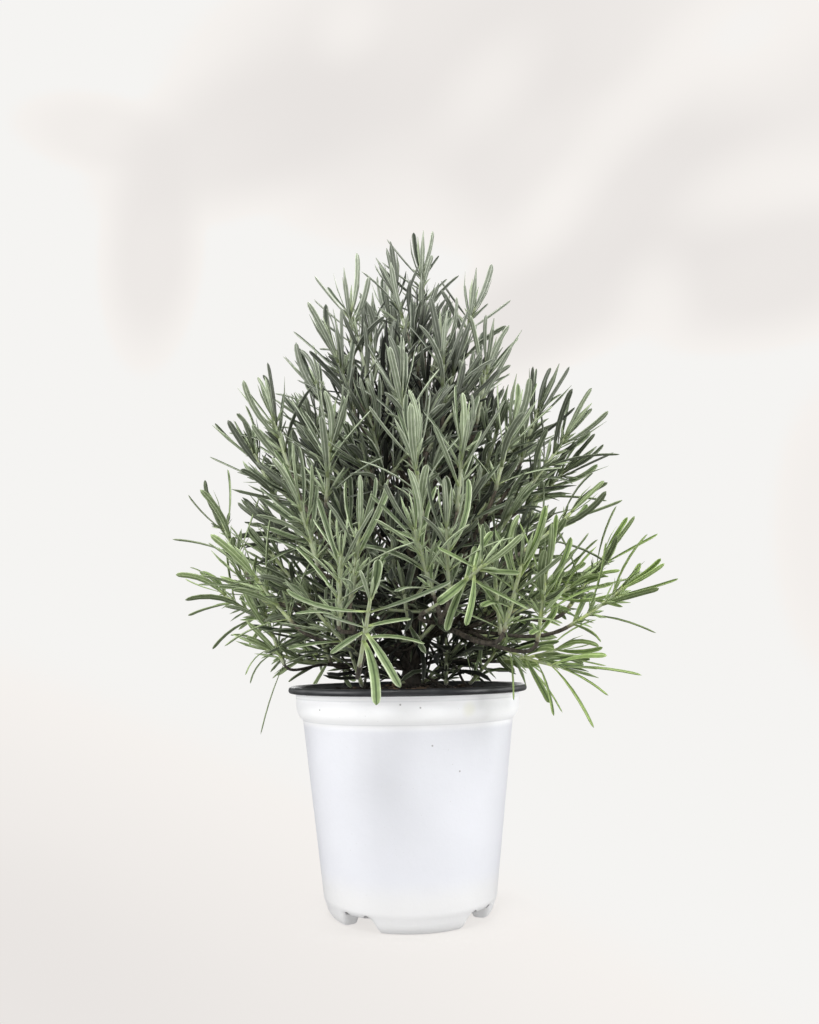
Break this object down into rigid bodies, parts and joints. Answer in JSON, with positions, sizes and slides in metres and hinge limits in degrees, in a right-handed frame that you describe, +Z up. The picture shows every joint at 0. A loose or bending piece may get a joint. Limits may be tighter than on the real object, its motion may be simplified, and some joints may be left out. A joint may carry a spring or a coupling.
{
  "type": "potted lavender plant",
  "caption": "Bushy young lavender with no flowers, its grey-green narrow-leaved shoots on a forked woody crown, in a white round nursery pot of dark soil on four low feet.",
  "frame": {"origin": "on the axis of the pot, on the surface that the four feet stand on", "axes": "+Z up along the axis of the pot; -Y is the front that the picture shows; +X is to the right in the picture"},
  "size_m": [0.3454, 0.3163, 0.4879],
  "materials": {
    "pot_sheet": "white formed sheet, smooth and slightly glossy, black inside and on the rolled lip",
    "potting_soil": "dark brown crumbly peat soil, matt",
    "bark": "grey-brown flaking bark, matt",
    "foliage": "grey-green leaf with a fine pale felt, matt"
  },
  "bodies": {
    "root": {"pot": "pot_sheet", "soil": "potting_soil", "woody_crown": "bark", "leafy_shoot_01": "foliage", "leafy_shoot_02": "foliage", "leafy_shoot_03": "foliage", "leafy_shoot_04": "foliage", "leafy_shoot_05": "foliage", "leafy_shoot_06": "foliage", "leafy_shoot_07": "foliage", "leafy_shoot_08": "foliage", "leafy_shoot_09": "foliage", "leafy_shoot_10": "foliage", "leafy_shoot_11": "foliage", "leafy_shoot_12": "foliage", "leafy_shoot_13": "foliage", "leafy_shoot_14": "foliage", "leafy_shoot_15": "foliage", "leafy_shoot_16": "foliage", "leafy_shoot_17": "foliage", "leafy_shoot_18": "foliage", "leafy_shoot_19": "foliage", "leafy_shoot_20": "foliage", "leafy_shoot_21": "foliage", "leafy_shoot_22": "foliage", "leafy_shoot_23": "foliage", "leafy_shoot_24": "foliage", "leafy_shoot_25": "foliage", "leafy_shoot_26": "foliage", "leafy_shoot_27": "foliage", "leafy_shoot_28": "foliage", "leafy_shoot_29": "foliage", "leafy_shoot_30": "foliage", "leafy_shoot_31": "foliage", "leafy_shoot_32": "foliage", "leafy_shoot_33": "foliage", "leafy_shoot_34": "foliage", "leafy_shoot_35": "foliage", "leafy_shoot_36": "foliage", "leafy_shoot_37": "foliage", "leafy_shoot_38": "foliage", "leafy_shoot_39": "foliage", "leafy_shoot_40": "foliage", "leafy_shoot_41": "foliage", "leafy_shoot_42": "foliage", "leafy_shoot_43": "foliage", "leafy_shoot_44": "foliage", "leafy_shoot_45": "foliage", "leafy_shoot_46": "foliage", "leafy_shoot_47": "foliage", "leafy_shoot_48": "foliage", "leafy_shoot_49": "foliage", "leafy_shoot_50": "foliage", "leafy_shoot_51": "foliage", "leafy_shoot_52": "foliage"}
  },
  "joints": []
}
